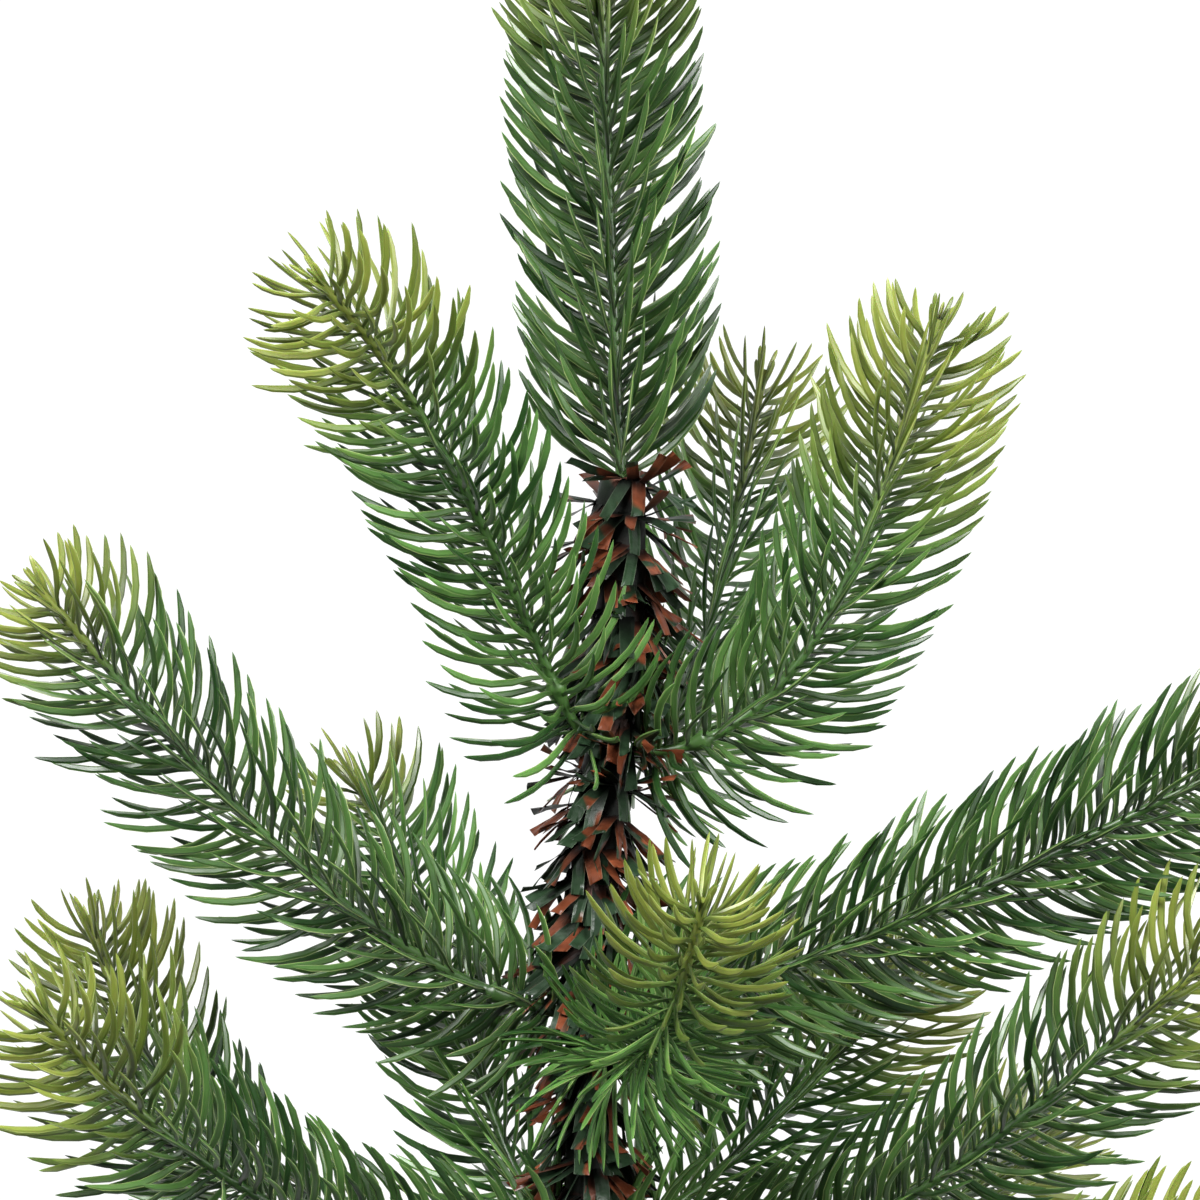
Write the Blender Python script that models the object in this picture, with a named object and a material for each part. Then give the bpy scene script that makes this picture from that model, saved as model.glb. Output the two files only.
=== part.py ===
"""Top of an artificial pine branch, lying down: a stem wound with cut film, a leader and 14 side sprigs.

The stem lies along +Y with its cut end towards -Y, and +Z is up. The side that faces up is the
branch's front. Lengths are in metres. The origin is under the middle of the branch, on the surface
that the back sprigs rest on.
"""

import math
from collections import namedtuple

import bmesh
import bpy
import numpy as np
from mathutils import Vector

MM = 0.001

# Gap that touching pieces keep
GAP = 0.3 * MM

# Stem: a moulded rod with one gentle bend to the right
ROD_RADIUS = 4.0 * MM
ROD_LENGTH = 206.0 * MM
ROD_SIDES = 12
ROD_RING_SPACING = 12.0 * MM
STEM_LEFT = -2.0 * MM
STEM_SHIFT = 6.2 * MM
BEND_START = 107.0 * MM
BEND_LENGTH = 80.0 * MM

# Wound film: rows of flared strips between the rings of sprigs, from and to in mm above the cut end
WRAP_STRETCHES = (
    ("stem_wrap_foot", 2.0, 20.0),
    ("stem_wrap_lower", 31.5, 44.5),
    ("stem_wrap_middle", 64.0, 91.0),
    ("stem_wrap_upper", 107.0, 147.5),
    ("stem_wrap_top", 163.5, 203.0),
)
WRAP_ROW = 6.6 * MM
WRAP_WAIST = 5.7 * MM
WRAP_LONG_FLARE = 8.2 * MM
WRAP_SHORT_FLARE = 7.0 * MM
WRAP_ZIGZAG = 1.6 * MM
WRAP_UNDERCUT = 1.0 * MM

# Sprigs: a thin stalk with rings of six needles
STALK_BASE_RADIUS = 1.1 * MM
STALK_TIP_RADIUS = 0.75 * MM
STALK_SIDES = 6
STALK_STEP = 0.25 * MM
STALK_POINT = 2.5 * MM
FIRST_NEEDLES = 6.0 * MM
LAST_NEEDLES = 3.0 * MM
NEEDLE_PITCH = 9.0 * MM
NEEDLE_FOOT = 1.7 * MM
NEEDLE_LENGTH = 23.0 * MM
LEADER_NEEDLE_LENGTH = 24.5 * MM
TIP_NEEDLE_SHARE = 0.45
TIP_STRETCH = 20.0 * MM
BASE_STRETCH = 22.0 * MM

# Angle between a needle and its stalk, in degrees: next to the stem, along the sprig, at its end
NEEDLE_ANGLE_BASE = 82.0
NEEDLE_ANGLE = 54.0
NEEDLE_ANGLE_TIP = 35.0

# A needle that would cross another piece is cut to the first of these shares that is clear
NEEDLE_CUTS = (1.0, 0.75, 0.5, 0.3)
CLEARANCE = 0.35 * MM

# Each sprig: height of its foot above the stem's cut end (mm), azimuth round the stem (degrees,
# 0 faces up, 90 is right, 180 is down), angle from the stem where it leaves and where it settles,
# how quickly it settles, how far its end turns outwards again, and its length (mm)
Sprig = namedtuple("Sprig", "name height azimuth leaves settles quickness turns_out length")

LEADER = Sprig("sprig_leader", 206.0, -90.0, 1.7, 1.7, 1.0, 0.0, 134.0)

SIDE_SPRIGS = (
    Sprig("sprig_upper_left", 154.0, -45.0, 75.0, 30.0, 22.0, 24.0, 118.0),
    Sprig("sprig_upper_right", 152.0, 80.0, 98.0, 18.0, 3.3, 0.0, 114.0),
    Sprig("sprig_upper_back", 150.0, 154.0, 98.0, 25.0, 3.3, 0.0, 114.0),
    Sprig("sprig_middle_left", 99.0, -88.0, 78.0, 41.0, 2.7, 0.0, 139.0),
    Sprig("sprig_middle_right", 101.0, 80.0, 83.0, 63.0, 2.9, 0.0, 147.0),
    Sprig("sprig_middle_front", 96.0, 14.0, 110.0, 49.0, 1.5, -9.0, 95.0),
    Sprig("sprig_middle_back", 98.0, 142.0, 98.0, 59.0, 0.8, 8.0, 68.0),
    Sprig("sprig_lower_right", 50.0, 75.0, 104.0, 49.0, 3.2, 0.0, 151.0),
    Sprig("sprig_lower_right_back", 54.0, 120.0, 76.0, 49.0, 4.0, 0.0, 94.0),
    Sprig("sprig_lower_left", 50.0, -60.0, 95.0, 44.0, 1.4, 0.0, 134.0),
    Sprig("sprig_lower_left_back", 54.0, -132.0, 80.0, 21.0, 8.0, 20.0, 114.0),
    Sprig("sprig_foot_left_back", 27.0, -121.0, 80.0, 2.0, 0.6, 6.0, 155.0),
    Sprig("sprig_foot_right_back", 26.0, 125.0, 88.0, 40.0, 1.2, 20.0, 125.0),
    Sprig("sprig_foot_right", 25.0, 66.0, 96.0, 61.0, 1.5, 0.0, 138.0),
)

UP_STEM = np.array((0.0, 1.0, 0.0))


def clear_scene():
    """Remove the objects of the startup scene."""
    for obj in list(bpy.data.objects):
        bpy.data.objects.remove(obj, do_unlink=True)


def make_material(name, colour, roughness):
    """One plastic, with its colour in linear light."""
    material = bpy.data.materials.new(name)
    material.use_nodes = True
    shader = material.node_tree.nodes["Principled BSDF"]
    shader.inputs["Base Color"].default_value = (*colour, 1.0)
    shader.inputs["Roughness"].default_value = roughness
    shader.inputs["Metallic"].default_value = 0.0
    return material


def make_object(name, body, material, frame, sharp_from):
    """Turn a finished bmesh into a named object under the branch's frame."""
    bmesh.ops.recalc_face_normals(body, faces=body.faces)
    mesh = bpy.data.meshes.new(name)
    body.to_mesh(mesh)
    body.free()
    mesh.materials.append(material)
    mesh.shade_smooth()
    mesh.set_sharp_from_angle(angle=math.radians(sharp_from))
    obj = bpy.data.objects.new(name, mesh)
    bpy.context.scene.collection.objects.link(obj)
    obj.parent = frame
    return obj


def stem_centre(height):
    """Centre of the stem at a height above its cut end."""
    share = min(max((height - BEND_START) / BEND_LENGTH, 0.0), 1.0)
    eased = share * share * (3.0 - 2.0 * share)
    return np.array((STEM_LEFT + STEM_SHIFT * eased, height, 0.0))


def stem_ring(body, height, radii, lifts):
    """Vertices round the stem, each with its own radius and lift along the stem."""
    centre = stem_centre(height)
    ring = []
    for side in range(ROD_SIDES):
        turn = 2.0 * math.pi * side / ROD_SIDES
        across = np.array((math.sin(turn), 0.0, math.cos(turn)))
        place = centre + across * radii[side] + UP_STEM * lifts[side]
        ring.append(body.verts.new(place))
    return ring


def skin_rings(body, lower, upper):
    """Faces between two rings with the same number of vertices."""
    count = len(lower)
    for side in range(count):
        after = (side + 1) % count
        body.faces.new((lower[side], lower[after], upper[after], upper[side]))


def build_rod(material, frame):
    """The bent stem rod with its two flat ends."""
    body = bmesh.new()
    rings = []
    level = [0.0] * ROD_SIDES
    for height in np.linspace(0.0, ROD_LENGTH, round(ROD_LENGTH / ROD_RING_SPACING) + 1):
        rings.append(stem_ring(body, height, [ROD_RADIUS] * ROD_SIDES, level))
    for lower, upper in zip(rings, rings[1:]):
        skin_rings(body, lower, upper)
    body.faces.new(rings[0])
    body.faces.new(rings[-1])
    return make_object("stem_rod", body, material, frame, 40.0)


def build_wrap(name, low, high, material, frame):
    """One stretch of wound film: rows of strips that flare downwards over each other, with a bore."""
    body = bmesh.new()
    rows = max(1, round((high - low) / WRAP_ROW))
    row = (high - low) / rows
    level = [0.0] * ROD_SIDES
    waist = [WRAP_WAIST] * ROD_SIDES
    bore = [ROD_RADIUS + GAP] * ROD_SIDES
    outer = [stem_ring(body, high, waist, level)]
    for index in range(1, rows + 1):
        height = high - index * row
        flare = [WRAP_LONG_FLARE, WRAP_SHORT_FLARE] * (ROD_SIDES // 2)
        lifts = [0.0, WRAP_ZIGZAG] * (ROD_SIDES // 2)
        if index % 2:
            flare.reverse()
            lifts.reverse()
        outer.append(stem_ring(body, height, flare, lifts))
        outer.append(stem_ring(body, height + WRAP_ZIGZAG + WRAP_UNDERCUT, waist, level))
    for upper, lower in zip(outer, outer[1:]):
        skin_rings(body, lower, upper)
    inner = []
    lowest = high - rows * row + WRAP_ZIGZAG + WRAP_UNDERCUT
    for height in np.linspace(lowest, high, rows + 1):
        inner.append(stem_ring(body, height, bore, level))
    for lower, upper in zip(inner, inner[1:]):
        skin_rings(body, lower, upper)
    skin_rings(body, outer[-1], inner[0])
    skin_rings(body, outer[0], inner[-1])
    return make_object(name, body, material, frame, 25.0)


class Stalk:
    """The centre line of a sprig, with a point and a direction at each step along it."""

    def __init__(self, sprig):
        self.length = sprig.length * MM
        azimuth = math.radians(sprig.azimuth)
        self.outward = np.array((math.sin(azimuth), 0.0, math.cos(azimuth)))
        self.sideways = np.cross(UP_STEM, self.outward)
        steps = round(self.length / STALK_STEP)
        along = np.linspace(0.0, 1.0, steps + 1)
        settling = (sprig.leaves - sprig.settles) * (1.0 - along) ** sprig.quickness
        angle = np.radians(sprig.settles + settling + sprig.turns_out * along ** 2)
        self.directions = np.outer(np.cos(angle), UP_STEM) + np.outer(np.sin(angle), self.outward)
        start = stem_centre(sprig.height * MM)
        if sprig is LEADER:
            start = start + UP_STEM * GAP
        else:
            lean = abs(math.cos(math.radians(sprig.leaves)))
            start = start + self.outward * (ROD_RADIUS + GAP + STALK_BASE_RADIUS * lean)
        moved = np.cumsum(self.directions[:-1], axis=0) * (self.length / steps)
        self.points = np.vstack((start, start + moved))

    def at(self, distance):
        """Point, direction and the two cross axes at a distance along the stalk."""
        index = round(distance / self.length * (len(self.points) - 1))
        direction = self.directions[index]
        across = np.cross(direction, self.sideways)
        return self.points[index], direction, across

    def radius(self, distance):
        share = distance / self.length
        return STALK_BASE_RADIUS + (STALK_TIP_RADIUS - STALK_BASE_RADIUS) * share


class Crowd:
    """Every stalk, wrap and needle placed so far, as tapered rods, to keep new needles clear."""

    def __init__(self):
        self.starts = []
        self.ends = []
        self.start_radii = []
        self.end_radii = []
        self.owners = []

    def add(self, start, end, start_radius, end_radius, owner):
        self.starts.append(start)
        self.ends.append(end)
        self.start_radii.append(start_radius)
        self.end_radii.append(end_radius)
        self.owners.append(owner)

    def is_clear(self, start, end, radius, own):
        """True where a needle keeps the clearance from every rod but those of its own owners."""
        starts = np.array(self.starts)
        first = end - start
        second = np.array(self.ends) - starts
        between = start - starts
        a = first @ first
        e = np.einsum("ij,ij->i", second, second)
        b = second @ first
        c = between @ first
        f = np.einsum("ij,ij->i", second, between)
        spread = np.maximum(a * e - b * b, 1e-18)
        here = np.clip((b * f - c * e) / spread, 0.0, 1.0)
        there = np.clip((b * here + f) / e, 0.0, 1.0)
        here = np.clip((b * there - c) / a, 0.0, 1.0)
        apart = between + np.outer(here, first) - second * there[:, None]
        distance = np.linalg.norm(apart, axis=1)
        start_radii = np.array(self.start_radii)
        taper = np.array(self.end_radii) - start_radii
        thickness = radius * (1.0 - here) + start_radii + taper * there
        others = np.array([owner not in own for owner in self.owners])
        return bool(np.all(distance[others] > thickness[others] + CLEARANCE))


def needle_stations(stalk):
    """Distances along a stalk of its rings of needles."""
    room = stalk.length - FIRST_NEEDLES - LAST_NEEDLES
    count = round(room / NEEDLE_PITCH) + 1
    return np.linspace(FIRST_NEEDLES, stalk.length - LAST_NEEDLES, count)


def needle_shape(sprig, stalk, distance):
    """Length of a needle and its angle to the stalk, which is widest where a sprig leaves the stem."""
    leads = sprig is LEADER
    full_length = LEADER_NEEDLE_LENGTH if leads else NEEDLE_LENGTH
    base_angle = NEEDLE_ANGLE if leads else NEEDLE_ANGLE_BASE
    to_tip = min((stalk.length - distance) / TIP_STRETCH, 1.0)
    from_base = min(distance / BASE_STRETCH, 1.0)
    length = full_length * (TIP_NEEDLE_SHARE + (1.0 - TIP_NEEDLE_SHARE) * to_tip)
    angle = base_angle + (NEEDLE_ANGLE - base_angle) * from_base
    angle = NEEDLE_ANGLE_TIP + (angle - NEEDLE_ANGLE_TIP) * to_tip
    return length, math.radians(angle)


def build_sprig(sprig, stalk, crowd, material, frame):
    """A stalk with its rings of needles, all one moulding."""
    body = bmesh.new()
    half_foot = NEEDLE_FOOT / 2.0
    sector = 2.0 * math.pi / STALK_SIDES

    def ring(distance, twist):
        point, _, across = stalk.at(distance)
        radius = stalk.radius(distance)
        verts = []
        for side in range(STALK_SIDES):
            turn = (side + twist) * sector
            offset = across * math.cos(turn) + stalk.sideways * math.sin(turn)
            verts.append(body.verts.new(point + offset * radius))
        return verts

    def join_twisted(lower, upper):
        for side in range(STALK_SIDES):
            after = (side + 1) % STALK_SIDES
            body.faces.new((lower[side], lower[after], upper[side]))
            body.faces.new((upper[side], lower[after], upper[after]))

    twist = 0.0
    last = ring(0.0, twist)
    body.faces.new(last)
    for station, distance in enumerate(needle_stations(stalk)):
        twist += 0.5
        lower = ring(distance - half_foot, twist)
        upper = ring(distance + half_foot, twist)
        join_twisted(last, lower)
        point, direction, across = stalk.at(distance)
        length, angle = needle_shape(sprig, stalk, distance)
        own_ring = f"{sprig.name} ring {station}"
        for side in range(STALK_SIDES):
            after = (side + 1) % STALK_SIDES
            corners = (lower[side], lower[after], upper[after], upper[side])
            turn = (side + twist + 0.5) * sector
            outward = across * math.cos(turn) + stalk.sideways * math.sin(turn)
            foot = point + outward * stalk.radius(distance)
            along = direction * math.cos(angle) + outward * math.sin(angle)
            tip = None
            for share in NEEDLE_CUTS:
                reach = foot + along * length * share
                start = foot + along * NEEDLE_FOOT
                if crowd.is_clear(start, reach, half_foot, (sprig.name, own_ring)):
                    tip = reach
                    break
            if tip is None:
                body.faces.new(corners)
                continue
            crowd.add(foot + along * NEEDLE_FOOT, tip, half_foot, 0.0, own_ring)
            apex = body.verts.new(tip)
            for first, second in zip(corners, corners[1:] + corners[:1]):
                body.faces.new((first, second, apex))
        last = upper
    point, direction, _ = stalk.at(stalk.length)
    apex = body.verts.new(point + direction * STALK_POINT)
    for side in range(STALK_SIDES):
        body.faces.new((last[side], last[(side + 1) % STALK_SIDES], apex))
    return make_object(sprig.name, body, material, frame, 50.0)


def crowd_of_stem(crowd):
    """Put the rod and the wraps into the crowd."""
    heights = np.linspace(0.0, ROD_LENGTH, round(ROD_LENGTH / ROD_RING_SPACING) + 1)
    for low, high in zip(heights, heights[1:]):
        crowd.add(stem_centre(low), stem_centre(high), ROD_RADIUS, ROD_RADIUS, "stem")
    for _, low, high in WRAP_STRETCHES:
        middle = (low + high) / 2.0
        for start, end in ((low, middle), (middle, high)):
            ends = stem_centre(start * MM), stem_centre(end * MM)
            crowd.add(*ends, WRAP_LONG_FLARE, WRAP_LONG_FLARE, "wrap")


def crowd_of_stalks(crowd, stalks):
    """Put every stalk into the crowd, so that no needle runs through another sprig's stalk."""
    for name, stalk in stalks.items():
        distances = np.linspace(0.0, stalk.length, round(stalk.length / NEEDLE_PITCH) + 1)
        for start, end in zip(distances, distances[1:]):
            ends = stalk.at(start)[0], stalk.at(end)[0]
            crowd.add(*ends, STALK_BASE_RADIUS, STALK_BASE_RADIUS, name)


def rest_on_surface(frame, objects):
    """Move the branch so that its box stands on the origin, centred over it."""
    corners = np.array([vertex.co for obj in objects for vertex in obj.data.vertices])
    low = corners.min(axis=0)
    high = corners.max(axis=0)
    middle = (low + high) / 2.0
    frame.location = Vector((-middle[0], -middle[1], -low[2]))


def main():
    clear_scene()
    rod_plastic = make_material("grey stem plastic", (0.20, 0.19, 0.17), 0.6)
    film = make_material("green and brown film", (0.055, 0.040, 0.025), 0.45)
    sprig_plastic = make_material("green moulded plastic", (0.045, 0.120, 0.030), 0.45)

    frame = bpy.data.objects.new("branch_frame", None)
    bpy.context.scene.collection.objects.link(frame)

    crowd = Crowd()
    crowd_of_stem(crowd)
    sprigs = (LEADER, *SIDE_SPRIGS)
    stalks = {sprig.name: Stalk(sprig) for sprig in sprigs}
    crowd_of_stalks(crowd, stalks)

    objects = [build_rod(rod_plastic, frame)]
    for name, low, high in WRAP_STRETCHES:
        objects.append(build_wrap(name, low * MM, high * MM, film, frame))
    for sprig in sprigs:
        objects.append(build_sprig(sprig, stalks[sprig.name], crowd, sprig_plastic, frame))
    rest_on_surface(frame, objects)
    bpy.context.view_layer.update()


main()
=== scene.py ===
"""Top of an artificial pine branch, lying on a lit white sheet and seen from above."""

import math
from collections import namedtuple

import bpy
import numpy as np
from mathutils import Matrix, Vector


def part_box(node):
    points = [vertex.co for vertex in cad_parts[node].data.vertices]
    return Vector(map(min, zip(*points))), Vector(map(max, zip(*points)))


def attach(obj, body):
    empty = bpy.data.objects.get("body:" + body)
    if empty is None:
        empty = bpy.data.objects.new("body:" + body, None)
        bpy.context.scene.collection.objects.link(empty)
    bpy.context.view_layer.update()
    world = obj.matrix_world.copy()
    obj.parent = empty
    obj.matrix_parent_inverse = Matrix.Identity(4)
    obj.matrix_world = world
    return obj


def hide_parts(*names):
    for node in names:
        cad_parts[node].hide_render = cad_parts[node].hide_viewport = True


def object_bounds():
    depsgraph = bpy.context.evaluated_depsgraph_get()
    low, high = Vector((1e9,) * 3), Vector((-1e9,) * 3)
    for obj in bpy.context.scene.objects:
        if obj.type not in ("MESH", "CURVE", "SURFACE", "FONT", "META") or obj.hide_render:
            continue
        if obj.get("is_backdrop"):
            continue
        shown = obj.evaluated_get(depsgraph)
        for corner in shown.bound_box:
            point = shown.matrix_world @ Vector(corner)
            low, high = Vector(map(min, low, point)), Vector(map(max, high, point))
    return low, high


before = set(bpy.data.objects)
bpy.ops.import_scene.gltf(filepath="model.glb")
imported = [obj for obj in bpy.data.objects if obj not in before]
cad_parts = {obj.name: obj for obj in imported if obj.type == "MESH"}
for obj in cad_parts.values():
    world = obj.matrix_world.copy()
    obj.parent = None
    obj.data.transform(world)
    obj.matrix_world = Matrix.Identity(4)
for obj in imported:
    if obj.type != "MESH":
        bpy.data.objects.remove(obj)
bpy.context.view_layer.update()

# Stem rod
#
# A moulded rod of grey-brown polyethylene with one gentle bend, which carries every sprig. It is cut
# off square just below the lowest turn of film.

MM = 0.001
ROD_RADIUS = 4.0 * MM

# The stem's foot is left of the picture's middle line, and its bend takes it to the right of that line
STEM_LEFT = -2.0 * MM
STEM_SHIFT = 6.2 * MM
BEND_START = 107.0 * MM
BEND_LENGTH = 80.0 * MM

rod_low, rod_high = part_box("stem_rod")
STEM_FOOT = np.array((rod_low.x + ROD_RADIUS - STEM_LEFT, rod_low.y, (rod_low.z + rod_high.z) / 2.0))
UP_STEM = np.array((0.0, 1.0, 0.0))


def stem_centre(height):
    """Centre of the stem at a height above its cut end."""
    share = min(max((height - BEND_START) / BEND_LENGTH, 0.0), 1.0)
    eased = share * share * (3.0 - 2.0 * share)
    return STEM_FOOT + np.array((STEM_LEFT + STEM_SHIFT * eased, height, 0.0))


def linear(code):
    """An sRGB hex colour as linear red, green, blue and alpha."""
    channels = [int(code[start:start + 2], 16) / 255.0 for start in (1, 3, 5)]
    return (*(c / 12.92 if c <= 0.04045 else ((c + 0.055) / 1.055) ** 2.4 for c in channels), 1.0)


def add(tree, kind, inputs=(), **settings):
    """Add a node with its settings; its inputs are values, nodes or sockets, in order or by name."""
    node = tree.nodes.new(kind)
    for setting, value in settings.items():
        setattr(node, setting, value)
    in_use = [socket for socket in node.inputs if socket.enabled]
    pairs = inputs.items() if isinstance(inputs, dict) else enumerate(inputs)
    for key, value in pairs:
        socket = node.inputs[key] if isinstance(key, str) else in_use[key]
        if isinstance(value, bpy.types.Node):
            value = next(output for output in value.outputs if output.enabled)
        if isinstance(value, bpy.types.NodeSocket):
            tree.links.new(value, socket)
        elif value is not None:
            socket.default_value = value
    return node


def new_material(name):
    """A material with only its output, and its node tree."""
    material = bpy.data.materials.new(name)
    material.use_nodes = True
    material.node_tree.nodes.clear()
    return material, material.node_tree


def blend(tree, share, one, other, way="MIX"):
    """A share of another colour blended into one colour."""
    return add(tree, "ShaderNodeMix", [share, one, other], data_type="RGBA", blend_type=way)


# Moulded polyethylene: dull, slightly waxy, with faint flow marks along the rod
rod_plastic, tree = new_material("moulded grey-brown polyethylene")
place = add(tree, "ShaderNodeTexCoord").outputs["Object"]
along_rod = add(tree, "ShaderNodeMapping", {"Vector": place, "Scale": (900.0, 90.0, 900.0)})
marks = add(tree, "ShaderNodeTexNoise", {"Vector": along_rod, "Scale": 1.0, "Detail": 4.0})
tone = blend(tree, marks.outputs["Fac"], linear("#4c463a"), linear("#7a7260"))
dull = add(tree, "ShaderNodeMapRange", [marks.outputs["Fac"], 0.3, 0.7, 0.5, 0.68])
bumps = add(tree, "ShaderNodeBump", {"Strength": 0.25, "Distance": 0.0002, "Height": marks.outputs["Fac"]})
shader = add(
    tree,
    "ShaderNodeBsdfPrincipled",
    {"Base Color": tone, "Roughness": dull, "Normal": bumps, "IOR": 1.5},
)
add(tree, "ShaderNodeOutputMaterial", {"Surface": shader})
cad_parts["stem_rod"].material_slots[0].material = rod_plastic

# Wound film
#
# Bands of dark green and reddish brown polyester film, cut into a fringe and wound round the stem,
# so that the cut strips stand in rows and point down and outwards. It hides the feet of the sprigs.

# Each stretch: its lower and upper end above the stem's cut end (mm), and how far the strips of its
# first turns have sprung loose (degrees)
FILM_STRETCHES = (
    ("stem_wrap_foot", 3.0, 26.0, 10.0),
    ("stem_wrap_lower", 26.0, 52.0, 30.0),
    ("stem_wrap_middle", 54.0, 97.0, 30.0),
    ("stem_wrap_upper", 98.0, 153.0, 64.0),
    ("stem_wrap_top", 156.0, 206.5, 60.0),
)

# The strips: their sizes, how deep they crease, how far their roots lie off the line of the turn, and
# which share of them is torn to a thread
STRIP_SPACING = 0.21 * MM
STRIPS_A_TURN = 33.0
STRIP_LENGTH = 10.0 * MM
STRIP_WIDTH = 2.9 * MM
STRIP_THICKNESS = 0.12 * MM
STRIP_CREASE = 1.6 * MM
STRIP_LIFT = 0.6 * MM
TORN_SHARE = 0.1
TORN_WIDTH = 0.16
SLEEVE_RADIUS = 4.9 * MM

# How far a strip stands off the stem (degrees): where the band is tight, where it is slack, and at
# most; and how far it curls along its length
FLARE_TIGHT = 16.0
FLARE_SLACK = 66.0
FLARE_MOST = 112.0
FLARE_VARIES = 9.0
CURL = -6.0
CURL_VARIES = 22.0

# A stretch has sprung loose at its upper end: fully up to one strip, and less and less up to another
LOOSE_FROM = 8.0
LOOSE_TO = 85.0

# How much more brown a strip shows for each degree that it has sprung loose
LOOSE_BROWNS = 0.005

MATH = "ShaderNodeMath"
VECTOR = "ShaderNodeVectorMath"


def new_tree(name, sizes):
    """A Geometry Nodes tree with a named input for each size; returns it with its input sockets."""
    tree = bpy.data.node_groups.new(name, "GeometryNodeTree")
    tree.interface.new_socket("Geometry", in_out="INPUT", socket_type="NodeSocketGeometry")
    tree.interface.new_socket("Geometry", in_out="OUTPUT", socket_type="NodeSocketGeometry")
    for size, kind in sizes.items():
        tree.interface.new_socket(size, in_out="INPUT", socket_type="NodeSocket" + kind)
    given = add(tree, "NodeGroupInput").outputs
    return tree, given


def chances(tree, index, seed):
    """Three random numbers from -1 to 1 for each index."""
    drawn = [(-1.0,) * 3, (1.0,) * 3, index, seed]
    drawn = add(tree, "FunctionNodeRandomValue", drawn, data_type="FLOAT_VECTOR")
    return add(tree, "ShaderNodeSeparateXYZ", [drawn]).outputs


def hold(tree, geometry, values, **settings):
    """Capture values, each with its kind, as they are at this step of the tree."""
    held = add(tree, "GeometryNodeCaptureAttribute", [geometry], **settings)
    for name, (kind, value) in values.items():
        held.capture_items.new(kind, name)
        value = value.outputs[0] if isinstance(value, bpy.types.Node) else value
        tree.links.new(value, held.inputs[name])
    return held


def store(tree, geometry, values):
    """Keep values on a geometry under their names."""
    for name, value in values.items():
        stored = {"Geometry": geometry, "Name": name, "Value": value}
        geometry = add(tree, "GeometryNodeStoreNamedAttribute", stored)
    return geometry


def closed_blade(tree, around, rows, outline):
    """A closed blade of unit size along Z: a grid rolled up, with its taper from an outline.

    Returns its geometry, its points' places, its grid's UV map and how near a point is to the rim.
    """
    sheet = add(tree, "GeometryNodeMeshGrid", [1.0, 1.0, around + 1, rows + 1])
    ends = add(tree, "GeometryNodeInputMeshEdgeVertices").outputs
    apart = add(tree, VECTOR, [ends["Position 1"], ends["Position 2"]], operation="SUBTRACT")
    apart = add(tree, MATH, [add(tree, "ShaderNodeSeparateXYZ", [apart])], operation="ABSOLUTE")
    lengthwise = add(tree, MATH, [apart, 0.001], operation="LESS_THAN")
    smooth = add(tree, "GeometryNodeSetShadeSmooth", [sheet])
    grid = add(tree, "GeometryNodeSetShadeSmooth", [smooth, lengthwise, False], domain="EDGE")
    spot = add(tree, "ShaderNodeSeparateXYZ", [add(tree, "GeometryNodeInputPosition")])
    turn = add(tree, MATH, [spot.outputs["X"], 2.0 * math.pi], operation="MULTIPLY")
    share, taper = outline(tree, add(tree, MATH, [spot.outputs["Y"], 0.5], operation="ADD"))
    cosine = add(tree, MATH, [turn], operation="COSINE")
    sine = add(tree, MATH, [turn], operation="SINE")
    wide = add(tree, MATH, [cosine, taper], operation="MULTIPLY")
    thick = add(tree, MATH, [sine, taper], operation="MULTIPLY")
    rolled = add(tree, "ShaderNodeCombineXYZ", [wide, thick, share])
    rim = add(tree, MATH, [cosine], operation="ABSOLUTE")
    points = hold(tree, grid, {"Place": ("VECTOR", rolled), "Rim": ("FLOAT", rim)})
    corners = hold(tree, points, {"Map": ("VECTOR", sheet.outputs["UV Map"])}, domain="CORNER")
    moved = {"Geometry": corners, "Position": points.outputs["Place"]}
    moved = add(tree, "GeometryNodeSetPosition", moved)
    welded = add(tree, "GeometryNodeMergeByDistance", {"Geometry": moved, "Distance": 0.0005})
    return welded, points.outputs["Place"], corners.outputs["Map"], points.outputs["Rim"]


def map_blades(tree, geometry, count, cell, flat_map):
    """Lay each blade out in its own cell of a square map; the foot of the map is left for the tube."""
    cells_across = add(tree, MATH, [add(tree, MATH, [count], operation="SQRT")], operation="CEIL")
    down = add(tree, MATH, [cell, cells_across], operation="DIVIDE")
    down = add(tree, MATH, [down], operation="FLOOR")
    before = add(tree, MATH, [down, cells_across], operation="MULTIPLY")
    beside = add(tree, MATH, [cell, before], operation="SUBTRACT")
    corner = add(tree, "ShaderNodeCombineXYZ", [beside, down, 0.0])
    inside = add(tree, VECTOR, [flat_map, (0.8,) * 3, (0.1,) * 3], operation="MULTIPLY_ADD")
    spread = add(tree, VECTOR, [corner, inside], operation="ADD")
    share = add(tree, "ShaderNodeCombineXYZ", [cells_across, cells_across, 1.0])
    spread = add(tree, VECTOR, [spread, share], operation="DIVIDE")
    spread = add(tree, VECTOR, [spread, (1.0, 0.95, 0.0), (0.0, 0.05, 0.0)], operation="MULTIPLY_ADD")
    return add(
        tree,
        "GeometryNodeStoreNamedAttribute",
        {"Geometry": geometry, "Name": "OFBake", "Value": spread},
        data_type="FLOAT2",
        domain="CORNER",
    )


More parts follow.
